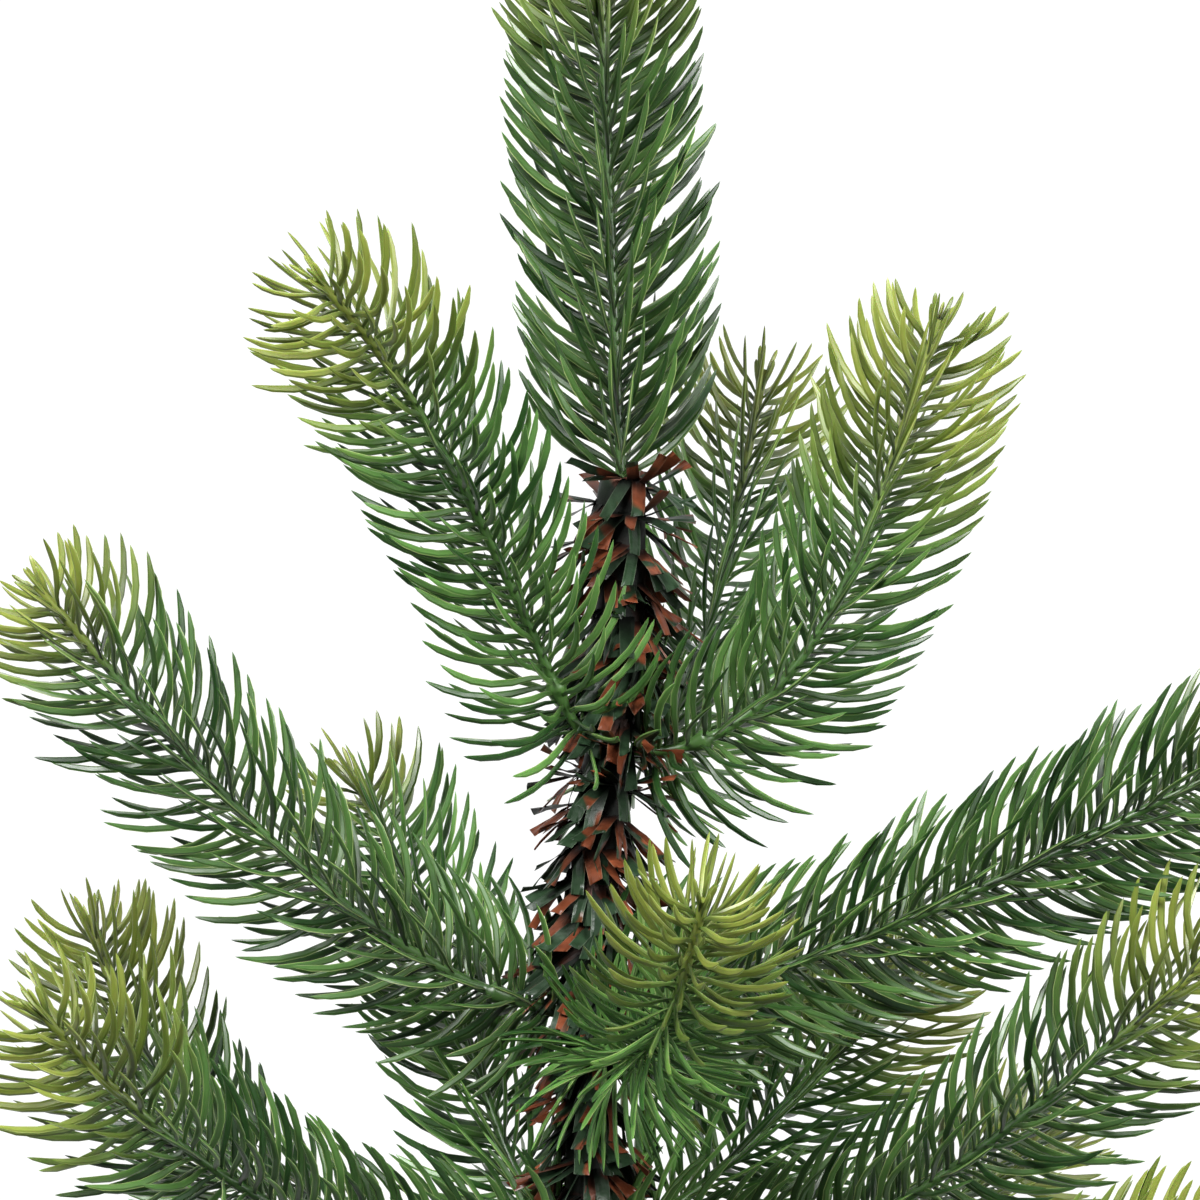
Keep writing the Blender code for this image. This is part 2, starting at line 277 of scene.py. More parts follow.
def mapped_tube(tree, line, radius, sides):
    """A closed tube along a line, laid out along the foot of the map."""
    ring = add(tree, "GeometryNodeCurvePrimitiveCircle", [sides, 1.0])
    share = ("FLOAT", add(tree, "GeometryNodeSplineParameter").outputs["Factor"])
    around = hold(tree, ring, {"Share": share})
    along = hold(tree, line, {"Share": share})
    tube = add(tree, "GeometryNodeCurveToMesh", [along, around, radius, True])
    turn = around.outputs["Share"]
    face = add(tree, "GeometryNodeFieldOnDomain", [turn], domain="FACE", data_type="FLOAT")
    at_seam = add(tree, MATH, [turn, 0.01], operation="LESS_THAN")
    last_face = add(tree, MATH, [face, 0.25], operation="GREATER_THAN")
    turn = add(tree, MATH, [at_seam, last_face, turn], operation="MULTIPLY_ADD")
    flat = add(tree, "ShaderNodeCombineXYZ", [turn, along.outputs["Share"], 0.0])
    flat = add(tree, VECTOR, [flat, (0.96, 0.035, 0.0), (0.02, 0.005, 0.0)], operation="MULTIPLY_ADD")
    return add(
        tree,
        "GeometryNodeStoreNamedAttribute",
        {"Geometry": tube, "Name": "OFBake", "Value": flat},
        data_type="FLOAT2",
        domain="CORNER",
    )


def grow(name, tree, path, sizes):
    """Run a tree on a path with its sizes, and keep what grows there as a plain mesh."""
    line = bpy.data.meshes.new(name + "_path")
    line.from_pydata([tuple(point) for point in path], [(i, i + 1) for i in range(len(path) - 1)], [])
    carrier = bpy.data.objects.new(name + "_path", line)
    bpy.context.scene.collection.objects.link(carrier)
    modifier = carrier.modifiers.new("growth", "NODES")
    modifier.node_group = tree
    for socket in tree.interface.items_tree:
        if socket.name in sizes:
            modifier[socket.identifier] = sizes[socket.name]
    evaluated = carrier.evaluated_get(bpy.context.evaluated_depsgraph_get())
    mesh = bpy.data.meshes.new_from_object(evaluated)
    mesh.name = name
    bpy.data.objects.remove(carrier)
    bpy.data.meshes.remove(line)
    piece = bpy.data.objects.new(name, mesh)
    bpy.context.scene.collection.objects.link(piece)
    return piece


def strip_outline(tree, share):
    """Square ends: the first and last rows close the ends, the rest run evenly between them."""
    inner = add(tree, "ShaderNodeMapRange", [share, 0.13, 0.87, 0.0, 1.0])
    near_end = add(tree, MATH, [share, 0.5], operation="SUBTRACT")
    near_end = add(tree, MATH, [near_end], operation="ABSOLUTE")
    taper = add(tree, MATH, [near_end, 0.49], operation="LESS_THAN")
    return inner, taper


tree, given = new_tree("fringe of wound film", {
    "Strip spacing": "Float",
    "Strips a turn": "Float",
    "Strip length": "Float",
    "Strip width": "Float",
    "Strip thickness": "Float",
    "Sleeve radius": "Float",
    "Loose start": "Float",
    "Film": "Material",
    "Seed": "Int",
})
film_tree = tree
line = add(tree, "GeometryNodeMeshToCurve", [given["Geometry"]])
rolls = add(tree, "GeometryNodeCurveToPoints", [line, given["Strip spacing"]], mode="LENGTH")
index = add(tree, "GeometryNodeInputIndex")
seed = given["Seed"]
first = chances(tree, index, seed)
second = chances(tree, index, add(tree, MATH, [seed, 71.0], operation="ADD"))

# Where each strip stands round the stem
step = add(tree, MATH, [2.0 * math.pi, given["Strips a turn"]], operation="DIVIDE")
turn = add(tree, MATH, [index, step], operation="MULTIPLY")
turn = add(tree, MATH, [first["X"], 0.16, turn], operation="MULTIPLY_ADD")
sine = add(tree, MATH, [turn], operation="SINE")
cosine = add(tree, MATH, [turn], operation="COSINE")
outward = add(tree, "ShaderNodeCombineXYZ", [sine, 0.0, cosine])
lift = add(tree, MATH, [first["Y"], STRIP_LIFT], operation="MULTIPLY")
lifted = add(tree, "ShaderNodeCombineXYZ", [0.0, lift, 0.0])
centre = add(tree, "GeometryNodeInputPosition")
root = add(tree, VECTOR, [outward, given["Sleeve radius"]], operation="SCALE")
root = add(tree, VECTOR, [root, centre], operation="ADD")
root = add(tree, VECTOR, [root, lifted], operation="ADD")

# Neighbouring strips stand off and slant alike, as the band is pulled tight or left slack. One strip in
# ten is a torn thread, narrower and longer than the rest
band_at = add(tree, "ShaderNodeCombineXYZ", [add(tree, MATH, [index, seed], operation="ADD"), 0.5, 0.5])
band = add(tree, "ShaderNodeTexNoise", {"Vector": band_at, "Scale": 0.16, "Detail": 1.0})
pull = add(tree, "ShaderNodeSeparateXYZ", [band.outputs["Color"]])
flare = add(tree, "ShaderNodeMapRange", [pull.outputs["X"], 0.32, 0.68, FLARE_TIGHT, FLARE_SLACK])
loosened = add(tree, "ShaderNodeMapRange", [index, LOOSE_FROM, LOOSE_TO, given["Loose start"], 0.0])
wilder = add(tree, "ShaderNodeMapRange", [second["X"], -0.7, 1.0, 0.1, 1.9])
loosened = add(tree, MATH, [loosened, wilder], operation="MULTIPLY")
flare = add(tree, MATH, [flare, loosened], operation="ADD")
browner = add(tree, MATH, [loosened, LOOSE_BROWNS, first["X"]], operation="MULTIPLY_ADD")
flare = add(tree, MATH, [first["Z"], FLARE_VARIES, flare], operation="MULTIPLY_ADD")
flare = add(tree, MATH, [flare, FLARE_MOST], operation="MINIMUM")
flare = add(tree, MATH, [flare, math.pi / 180.0], operation="MULTIPLY")
curl = add(tree, MATH, [second["X"], CURL_VARIES, CURL], operation="MULTIPLY_ADD")
curl = add(tree, MATH, [curl, math.pi / 180.0], operation="MULTIPLY")
skew = add(tree, "ShaderNodeMapRange", [pull.outputs["Y"], 0.3, 0.7, 0.4, -1.0])
skew = add(tree, MATH, [second["Y"], 0.16, skew], operation="MULTIPLY_ADD")
twist = add(tree, MATH, [pull.outputs["Z"], 0.5], operation="SUBTRACT")
twist = add(tree, MATH, [twist, 3.0], operation="MULTIPLY")
twist = add(tree, MATH, [first["Z"], 0.7, twist], operation="MULTIPLY_ADD")
torn = add(tree, MATH, [second["Z"], 2.0 * TORN_SHARE - 1.0], operation="LESS_THAN")
reach = add(tree, MATH, [second["Z"], 0.2, 1.0], operation="MULTIPLY_ADD")
reach = add(tree, MATH, [torn, 0.35, reach], operation="MULTIPLY_ADD")
reach = add(tree, MATH, [reach, given["Strip length"]], operation="MULTIPLY")
width = add(tree, MATH, [first["Y"], 0.25, 1.0], operation="MULTIPLY_ADD")
width = add(tree, "ShaderNodeMix", [torn, width, TORN_WIDTH], data_type="FLOAT")
width = add(tree, MATH, [width, given["Strip width"]], operation="MULTIPLY")
strips = hold(tree, rolls, {
    "Root": ("VECTOR", root),
    "Outward": ("VECTOR", outward),
    "Flare": ("FLOAT", flare),
    "Curl": ("FLOAT", curl),
    "Skew": ("FLOAT", skew),
    "Reach": ("FLOAT", reach),
    "Width": ("FLOAT", width),
    "Tone": ("FLOAT", browner),
    "Twist": ("FLOAT", twist),
    "Shade": ("FLOAT", second["Y"]),
    "Cell": ("FLOAT", index),
})
of_strip = strips.outputs
ribbon, local, flat_map, rim = closed_blade(tree, 6, 8, strip_outline)
standing = add(tree, "GeometryNodeInstanceOnPoints", {"Points": strips, "Instance": ribbon})
loose = add(tree, "GeometryNodeRealizeInstances", [standing])

# Each strip leaves its root at the flare angle and curls along its length
spot = add(tree, "ShaderNodeSeparateXYZ", [local])
share = spot.outputs["Z"]
angle = add(tree, MATH, [of_strip["Curl"], share, of_strip["Flare"]], operation="MULTIPLY_ADD")
middle = add(tree, MATH, [of_strip["Flare"], angle], operation="ADD")
middle = add(tree, MATH, [middle, 0.5], operation="MULTIPLY")
run = add(tree, MATH, [of_strip["Reach"], share], operation="MULTIPLY")
down = add(tree, MATH, [add(tree, MATH, [middle], operation="COSINE"), run], operation="MULTIPLY")
down = add(tree, MATH, [down, -1.0], operation="MULTIPLY")
out = add(tree, MATH, [add(tree, MATH, [middle], operation="SINE"), run], operation="MULTIPLY")
tangential = add(tree, VECTOR, [(0.0, 1.0, 0.0), of_strip["Outward"]], operation="CROSS_PRODUCT")
aside = add(tree, MATH, [of_strip["Skew"], run], operation="MULTIPLY")
half_width = add(tree, MATH, [of_strip["Width"], 0.5], operation="MULTIPLY")
half_width = add(tree, MATH, [half_width, spot.outputs["X"]], operation="MULTIPLY")
half_thickness = add(tree, MATH, [given["Strip thickness"], 0.5], operation="MULTIPLY")
half_thickness = add(tree, MATH, [half_thickness, spot.outputs["Y"]], operation="MULTIPLY")
twist = add(tree, MATH, [of_strip["Twist"], share], operation="MULTIPLY")
twist_cosine = add(tree, MATH, [twist], operation="COSINE")
twist_sine = add(tree, MATH, [twist], operation="SINE")
aside = add(tree, MATH, [half_width, twist_cosine, aside], operation="MULTIPLY_ADD")
turned_in = add(tree, MATH, [half_thickness, twist_sine], operation="MULTIPLY")
aside = add(tree, MATH, [aside, turned_in], operation="SUBTRACT")
on_strip = add(tree, "ShaderNodeCombineXYZ", [spot.outputs["X"], 0.0, share])
noise_at = add(tree, VECTOR, [of_strip["Root"], (900.0,) * 3, on_strip], operation="MULTIPLY_ADD")
crease = add(tree, "ShaderNodeTexNoise", {"Vector": noise_at, "Scale": 1.7, "Detail": 1.0})
crease = add(tree, MATH, [crease.outputs["Fac"], 0.5], operation="SUBTRACT")
proud = add(tree, MATH, [half_thickness, twist_cosine], operation="MULTIPLY")
proud = add(tree, MATH, [crease, STRIP_CREASE, proud], operation="MULTIPLY_ADD")
proud = add(tree, MATH, [half_width, twist_sine, proud], operation="MULTIPLY_ADD")
cosine = add(tree, MATH, [angle], operation="COSINE")
sine = add(tree, MATH, [angle], operation="SINE")
out = add(tree, MATH, [cosine, proud, out], operation="MULTIPLY_ADD")
down = add(tree, MATH, [sine, proud, down], operation="MULTIPLY_ADD")
down = add(tree, "ShaderNodeCombineXYZ", [0.0, down, 0.0])
position = add(tree, VECTOR, [of_strip["Outward"], out], operation="SCALE")
position = add(tree, VECTOR, [position, down], operation="ADD")
aside = add(tree, VECTOR, [tangential, aside], operation="SCALE")
position = add(tree, VECTOR, [position, aside], operation="ADD")
position = add(tree, VECTOR, [position, of_strip["Root"]], operation="ADD")
shaped = add(tree, "GeometryNodeSetPosition", {"Geometry": loose, "Position": position})
shaped = store(tree, shaped, {
    "rim": rim,
    "tone": of_strip["Tone"],
    "shade": of_strip["Shade"],
    "along": share,
    "across": spot.outputs["X"],
})
shaped = map_blades(
    tree,
    shaped,
    add(tree, "GeometryNodeAttributeDomainSize", [rolls], component="POINTCLOUD"),
    of_strip["Cell"],
    flat_map,
)

# The sleeve under the strips is tucked in at both ends. It is painted dark as shade under the strips,
# less so at the upper end, which few strips cover
from_middle = add(tree, MATH, [add(tree, "GeometryNodeSplineParameter"), 0.5], operation="SUBTRACT")
from_middle = add(tree, MATH, [from_middle], operation="ABSOLUTE")
tucked = add(tree, "ShaderNodeMapRange", [from_middle, 0.42, 0.5, 1.0, 0.84])
tucked = add(tree, MATH, [tucked, given["Sleeve radius"]], operation="MULTIPLY")
less_painted_shade = add(tree, "ShaderNodeMapRange", [add(tree, "GeometryNodeSplineParameter"), 0.0, 0.15, 0.35, 0.0])
line = store(tree, line, {"along": less_painted_shade})
sleeve = mapped_tube(tree, line, tucked, 24)
joined = add(tree, "GeometryNodeJoinGeometry")
tree.links.new(sleeve.outputs[0], joined.inputs[0])
tree.links.new(shaped.outputs[0], joined.inputs[0])
whole = add(tree, "GeometryNodeSetMaterial", {"Geometry": joined, "Material": given["Film"]})
add(tree, "NodeGroupOutput", [whole])

# Polyester film, coloured dark green on one run and reddish brown on the next: thin and creased, with a
# low sheen, a tone that differs from strip to strip, a paler cut edge, and painted shade towards the roots
film, tree = new_material("creased polyester film")
place = add(tree, "ShaderNodeTexCoord").outputs["Object"]
patches = add(tree, "ShaderNodeTexNoise", {"Vector": place, "Scale": 95.0, "Detail": 1.0})
strip_tone = add(tree, "ShaderNodeAttribute", attribute_name="tone").outputs["Fac"]
across = add(tree, "ShaderNodeAttribute", attribute_name="across").outputs["Fac"]
mixed = add(tree, MATH, [strip_tone, 0.3, patches.outputs["Fac"]], operation="MULTIPLY_ADD")
mixed = add(tree, MATH, [across, 0.04, mixed], operation="MULTIPLY_ADD")
brown_share = add(tree, "ShaderNodeMapRange", [mixed, 0.51, 0.55, 0.0, 1.0])
fine = add(tree, "ShaderNodeTexNoise", {"Vector": place, "Scale": 420.0, "Detail": 3.0})
green = blend(tree, fine.outputs["Fac"], linear("#101c10"), linear("#293d29"))
brown = blend(tree, fine.outputs["Fac"], linear("#33180f"), linear("#7f4329"))
colour = blend(tree, brown_share, green, brown)
edge = add(tree, "ShaderNodeAttribute", attribute_name="rim").outputs["Fac"]
edge = add(tree, "ShaderNodeMapRange", [edge, 0.9, 1.0, 0.0, 0.25])
colour = blend(tree, edge, colour, linear("#8c9a84"))
share = add(tree, "ShaderNodeAttribute", attribute_name="along").outputs["Fac"]
shade = add(tree, "ShaderNodeAttribute", attribute_name="shade").outputs["Fac"]
# Painted shade: the colour darkens towards the strips' roots and on the sleeve, where the strips shade
# each other; each strip's own tone then scales it
painted_root_shade = add(tree, "ShaderNodeMapRange", [share, 0.1, 0.65, 0.08, 1.0])
matt = add(tree, MATH, [painted_root_shade, -0.3, 0.3], operation="MULTIPLY_ADD")
shade = add(tree, "ShaderNodeMapRange", [shade, -1.0, 1.0, 0.55, 1.2])
painted_root_shade = add(tree, MATH, [painted_root_shade, shade], operation="MULTIPLY")
painted_root_shade = add(tree, "ShaderNodeCombineXYZ", [painted_root_shade, painted_root_shade, painted_root_shade])
colour = blend(tree, 1.0, colour, painted_root_shade, "MULTIPLY")
slick = add(tree, "ShaderNodeMapRange", [fine.outputs["Fac"], 0.3, 0.7, 0.28, 0.45])
slick = add(tree, MATH, [slick, matt], operation="ADD")
bumps = add(tree, "ShaderNodeBump", {"Strength": 0.5, "Distance": 0.0004, "Height": fine.outputs["Fac"]})
shader = add(
    tree,
    "ShaderNodeBsdfPrincipled",
    {
        "Base Color": colour,
        "Roughness": slick,
        "Normal": bumps,
        "IOR": 1.58,
        "Specular IOR Level": 0.16,
    },
)
add(tree, "ShaderNodeOutputMaterial", {"Surface": shader})

for number, (name, low, high, loose) in enumerate(FILM_STRETCHES):
    heights = np.linspace(high * MM, low * MM, 30)
    fringe = grow(name + "_fringe", film_tree, [stem_centre(height) for height in heights], {
        "Strip spacing": STRIP_SPACING,
        "Strips a turn": STRIPS_A_TURN,
        "Strip length": STRIP_LENGTH,
        "Strip width": STRIP_WIDTH,
        "Strip thickness": STRIP_THICKNESS,
        "Sleeve radius": SLEEVE_RADIUS,
        "Loose start": loose,
        "Film": film,
        "Seed": 11 + number,
    })
    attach(fringe, "root")
    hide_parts(name)

# Sprigs
#
# Fifteen sprigs of polyethylene, each moulded in one shot: a thin stalk with flat, curved needles that
# wind all round it. They stand in rings on the stem, with their feet under the wound film, and the
# youngest needles, at their ends, are yellow-green.

# Height of the foot above the stem's cut end (mm), azimuth round the stem (degrees, 0 faces up, 90 is
# right), angle from the stem where it leaves and where it settles, how quickly it settles, how far its
# end turns outwards again, its length, how much of its end is yellow-green, how far apart along it one
# needle's foot is from the next (mm), and how light its green is, where 1 is the usual green: a painted
# lightness that stands in for the light and shade that fall on the sprig
Sprig = namedtuple(
    "Sprig", "name height azimuth leaves settles quickness turns_out length young apart pale"
)
SPRIGS = (
    Sprig("sprig_leader", 206.0, -90.0, 2.3, 2.3, 1.0, 0.0, 134.0, 57.0, 0.35, 0.8),
    Sprig("sprig_upper_left", 154.0, -45.0, 75.0, 30.0, 22.0, 24.0, 118.0, 46.0, 0.44, 1.45),
    Sprig("sprig_upper_right", 152.0, 80.0, 98.0, 18.0, 3.3, 0.0, 114.0, 52.0, 0.45, 1.08),
    Sprig("sprig_upper_back", 150.0, 154.0, 98.0, 25.0, 3.3, 0.0, 114.0, 40.0, 0.55, 1.9),
    Sprig("sprig_middle_left", 99.0, -88.0, 78.0, 41.0, 2.7, 0.0, 139.0, 27.0, 0.51, 0.9),
    Sprig("sprig_middle_right", 101.0, 80.0, 83.0, 63.0, 2.9, 0.0, 147.0, 24.0, 0.39, 0.98),
    Sprig("sprig_middle_front", 96.0, 14.0, 110.0, 49.0, 1.5, -9.0, 95.0, 40.0, 0.38, 2.1),
    Sprig("sprig_middle_back", 98.0, 142.0, 98.0, 59.0, 0.8, 8.0, 68.0, 68.0, 0.50, 1.6),
    Sprig("sprig_lower_right", 50.0, 75.0, 104.0, 49.0, 3.2, 0.0, 151.0, 44.0, 0.51, 0.88),
    Sprig("sprig_lower_right_back", 54.0, 120.0, 76.0, 49.0, 4.0, 0.0, 94.0, 44.0, 0.50, 2.2),
    Sprig("sprig_lower_left", 50.0, -60.0, 95.0, 44.0, 1.4, 0.0, 134.0, 41.0, 0.47, 1.0),
    Sprig("sprig_lower_left_back", 54.0, -132.0, 80.0, 21.0, 8.0, 20.0, 114.0, 20.0, 0.50, 1.7),
    Sprig("sprig_foot_left_back", 27.0, -121.0, 80.0, 2.0, 0.6, 6.0, 155.0, 44.0, 0.51, 0.95),
    Sprig("sprig_foot_right_back", 26.0, 125.0, 88.0, 40.0, 1.2, 20.0, 125.0, 44.0, 0.45, 1.2),
    Sprig("sprig_foot_right", 25.0, 66.0, 96.0, 61.0, 1.5, 0.0, 138.0, 44.0, 0.45, 1.0),
)
LEADER = SPRIGS[0]

# The stalk stops a gap short of the rod. Its green, painted shade included, is that of a needle at
# STALK_TONE of its length
GAP = 0.3 * MM
STALK_BASE_RADIUS = 1.1 * MM
STALK_TIP_RADIUS = 0.95 * MM
STALK_TONE = 0.36
COLLAR = 1.3 * MM
COLLAR_FOOT = 11.0 * MM
COLLAR_LIP = 16.0 * MM

# The needles, their angles to the stalk and how far these vary (degrees)
FIRST_NEEDLES = 3.0 * MM
LEADER_FIRST_NEEDLES = 0.6 * MM
GOLDEN_ANGLE = 137.5
NEEDLE_LENGTH = 24.5 * MM
LEADER_NEEDLE_LENGTH = 25.0 * MM
NEEDLE_LENGTH_VARIES = 0.06
NEEDLE_WIDTH = 1.5 * MM
LEADER_NEEDLE_WIDTH = 1.7 * MM
NEEDLE_THICKNESS = 0.85 * MM
NEEDLE_BLUNTNESS = 12.5
NEEDLE_BEND = 56.0
NEEDLE_BEND_VARIES = 8.0
NEEDLE_ANGLE_BASE = 82.0
LEADER_ANGLE_BASE = 46.0
NEEDLE_ANGLE = 52.0
NEEDLE_ANGLE_TIP = 47.0
ANGLE_DRIFT = 15.0
ANGLE_VARIES = 2.6
ANGLE_STRAYS = 20.0
TIP_NEEDLE_SHARE = 0.5
TIP_STRETCH = 20.0 * MM
BASE_STRETCH = 22.0 * MM

# A needle's foot starts inside the stalk, this far from its middle, and rises out of a ridge
FOOT_OFFSET = 0.8 * MM
FOOT_RIDGE = 2.2 * MM

# The last needles close up as a bud
BUD_NEEDLES = 7
BUD_LENGTH = 5.6 * MM
BUD_BEND = 9.0
BUD_ANGLE = 17.0
BUD_ANGLE_VARIES = 9.0

# The outer part of a needle keeps this far from the rod, and no needle goes lower than this height
STEM_CLEARANCE = 2.3 * MM
LOWEST = 0.2 * MM


def turned(tree, start, towards, angle):
    """A direction that is turned by an angle from one axis towards another."""
    cosine = add(tree, MATH, [angle], operation="COSINE")
    sine = add(tree, MATH, [angle], operation="SINE")
    start = add(tree, VECTOR, [start, cosine], operation="SCALE")
    towards = add(tree, VECTOR, [towards, sine], operation="SCALE")
    return add(tree, VECTOR, [start, towards], operation="ADD")


def needle_outline(tree, share):
    """A needle's foot is narrow, its sides run nearly parallel, and it ends in a short blunt point."""
    eased = {"interpolation_type": "SMOOTHSTEP"}
    spread = add(tree, "ShaderNodeMapRange", [share, 0.0, 1.0, 0.0, 1.0], **eased)
    foot = add(tree, "ShaderNodeMapRange", [spread, 0.0, 0.34, 0.5, 1.0], **eased)
    point = add(tree, MATH, [spread, NEEDLE_BLUNTNESS], operation="POWER")
    point = add(tree, MATH, [1.0, point], operation="SUBTRACT")
    off_foot = add(tree, MATH, [spread, 0.0001], operation="GREATER_THAN")
    taper = add(tree, MATH, [foot, point], operation="MULTIPLY")
    taper = add(tree, MATH, [taper, off_foot], operation="MULTIPLY")
    return spread, taper


tree, given = new_tree("moulded sprig", {
    "Sideways": "Vector",
    "Stalk length": "Float",
    "Stalk radius at the stem": "Float",
    "Stalk radius at the end": "Float",
    "Collar": "Float",
    "First needle": "Float",
    "Needle spacing": "Float",
    "Young end": "Float",
    "Paleness": "Float",
    "Needle length": "Float",
    "Needle width": "Float",
    "Needle thickness": "Float",
    "Needle bend": "Float",
    "Angle at the stem": "Float",
    "Angle along the sprig": "Float",
    "Angle at the end": "Float",
    "Stem": "Object",
    "Plastic": "Material",
    "Seed": "Int",
})
sprig_tree = tree
total = given["Stalk length"]
line = add(tree, "GeometryNodeMeshToCurve", [given["Geometry"]])
along = add(tree, "GeometryNodeSplineParameter")
left_over = add(tree, MATH, [total, along.outputs["Length"]], operation="SUBTRACT")
age = add(tree, MATH, [left_over, given["Young end"]], operation="DIVIDE")
marked = {"from_end": left_over, "age": age, "pale": given["Paleness"], "along": STALK_TONE}
line = store(tree, line, marked)

# The stalk, with a funnel-shaped collar near its foot
at_stem = given["Stalk radius at the stem"]
at_end = given["Stalk radius at the end"]
radius = add(tree, "ShaderNodeMapRange", [along.outputs["Factor"], 0.0, 1.0, at_stem, at_end])
distance = along.outputs["Length"]
collar = add(tree, "ShaderNodeMapRange", [distance, COLLAR_FOOT, COLLAR_LIP, 0.0, given["Collar"]])
below_lip = add(tree, MATH, [distance, COLLAR_LIP + 0.5 * MM], operation="LESS_THAN")
radius = add(tree, MATH, [collar, below_lip, radius], operation="MULTIPLY_ADD")
stalk = mapped_tube(tree, line, radius, 10)

# The needles' feet wind up the stalk like the scales of a cone, and the last of them close up as the bud
room = add(tree, MATH, [total, given["First needle"]], operation="SUBTRACT")
count = add(tree, MATH, [room, given["Needle spacing"]], operation="DIVIDE")
count = add(tree, MATH, [add(tree, MATH, [count], operation="ROUND"), 1.0], operation="ADD")
needled = add(tree, "GeometryNodeTrimCurve", [line, None, given["First needle"], total], mode="LENGTH")
feet = add(tree, "GeometryNodeCurveToPoints", [needled, count], mode="COUNT")
ahead = feet.outputs["Tangent"]
index = add(tree, "GeometryNodeInputIndex")
seed = given["Seed"]
first = chances(tree, index, seed)
second = chances(tree, index, add(tree, MATH, [seed, 53.0], operation="ADD"))
bud_start = add(tree, MATH, [count, BUD_NEEDLES + 0.5], operation="SUBTRACT")
in_bud = add(tree, MATH, [index, bud_start], operation="GREATER_THAN")

turn = add(tree, MATH, [index, math.radians(GOLDEN_ANGLE)], operation="MULTIPLY")
turn = add(tree, MATH, [first["X"], 0.2, turn], operation="MULTIPLY_ADD")
across = add(tree, VECTOR, [ahead, given["Sideways"]], operation="CROSS_PRODUCT")
outward = turned(tree, across, given["Sideways"], turn)

# A needle's angle and length depend on how far up the sprig it stands. Neighbours lean alike, and a few
# needles stray
from_end = add(tree, "GeometryNodeInputNamedAttribute", ["from_end"], data_type="FLOAT").outputs[0]
from_stem = add(tree, MATH, [total, from_end], operation="SUBTRACT")
to_tip = add(tree, "ShaderNodeMapRange", [from_end, 0.0, TIP_STRETCH, 0.0, 1.0])
from_base = add(tree, "ShaderNodeMapRange", [from_stem, 0.0, BASE_STRETCH, 0.0, 1.0])
angle = given["Angle along the sprig"]
angle = add(tree, "ShaderNodeMapRange", [from_base, 0.0, 1.0, given["Angle at the stem"], angle])
angle = add(tree, "ShaderNodeMapRange", [to_tip, 0.0, 1.0, given["Angle at the end"], angle])
foot = add(tree, "GeometryNodeInputPosition")
drift_at = add(tree, VECTOR, [foot, (45.0,) * 3, outward], operation="MULTIPLY_ADD")
drift = add(tree, "ShaderNodeTexNoise", {"Vector": drift_at, "Scale": 1.3, "Detail": 1.0})
drift = add(tree, MATH, [drift.outputs["Fac"], 0.5], operation="SUBTRACT")
angle = add(tree, MATH, [drift, ANGLE_DRIFT, angle], operation="MULTIPLY_ADD")
angle = add(tree, MATH, [first["Y"], ANGLE_VARIES, angle], operation="MULTIPLY_ADD")
stray = add(tree, MATH, [second["X"], 13.0], operation="POWER")
angle = add(tree, MATH, [stray, ANGLE_STRAYS, angle], operation="MULTIPLY_ADD")
bud_angle = add(tree, MATH, [first["Y"], BUD_ANGLE_VARIES, BUD_ANGLE], operation="MULTIPLY_ADD")
angle = add(tree, "ShaderNodeMix", [in_bud, angle, bud_angle], data_type="FLOAT")
angle = add(tree, MATH, [angle, math.pi / 180.0], operation="MULTIPLY")
length = add(tree, MATH, [to_tip, 1.0 - TIP_NEEDLE_SHARE, TIP_NEEDLE_SHARE], operation="MULTIPLY_ADD")
length = add(tree, MATH, [length, given["Needle length"]], operation="MULTIPLY")
vary = add(tree, MATH, [first["Z"], NEEDLE_LENGTH_VARIES, 1.0], operation="MULTIPLY_ADD")
length = add(tree, MATH, [length, vary], operation="MULTIPLY")
length = add(tree, "ShaderNodeMix", [in_bud, length, BUD_LENGTH], data_type="FLOAT")
bend = add(tree, MATH, [second["Y"], NEEDLE_BEND_VARIES, given["Needle bend"]], operation="MULTIPLY_ADD")
bend = add(tree, "ShaderNodeMix", [in_bud, bend, BUD_BEND], data_type="FLOAT")
bend = add(tree, MATH, [bend, math.pi / 180.0], operation="MULTIPLY")
leaving = add(tree, MATH, [bend, 0.5, angle], operation="MULTIPLY_ADD")
sweep = add(tree, MATH, [second["Z"], 0.07], operation="MULTIPLY")

# A needle is broad in the plane that it bends in, so one that faces the viewer is seen edge on
heading = turned(tree, ahead, outward, angle)
beside = add(tree, VECTOR, [ahead, outward], operation="CROSS_PRODUCT")
flat = add(tree, VECTOR, [heading, beside], operation="CROSS_PRODUCT")
roll = add(tree, MATH, [first["Z"], 0.45], operation="MULTIPLY")
flat = add(tree, "ShaderNodeVectorRotate", {"Vector": flat, "Axis": heading, "Angle": roll})

# A needle that would run into the stem is left out
reach = add(tree, MATH, [length, 0.7], operation="MULTIPLY")
far = add(tree, VECTOR, [heading, reach], operation="SCALE")
far = add(tree, VECTOR, [far, foot], operation="ADD")
stem = add(tree, "GeometryNodeObjectInfo", [given["Stem"]], transform_space="RELATIVE")
near_stem = add(
    tree, "GeometryNodeProximity", {"Geometry": stem.outputs["Geometry"], "Sample Position": far}
).outputs["Distance"]
clear = add(tree, MATH, [near_stem, STEM_CLEARANCE], operation="GREATER_THAN")
clear = add(tree, MATH, [clear, in_bud], operation="MAXIMUM")

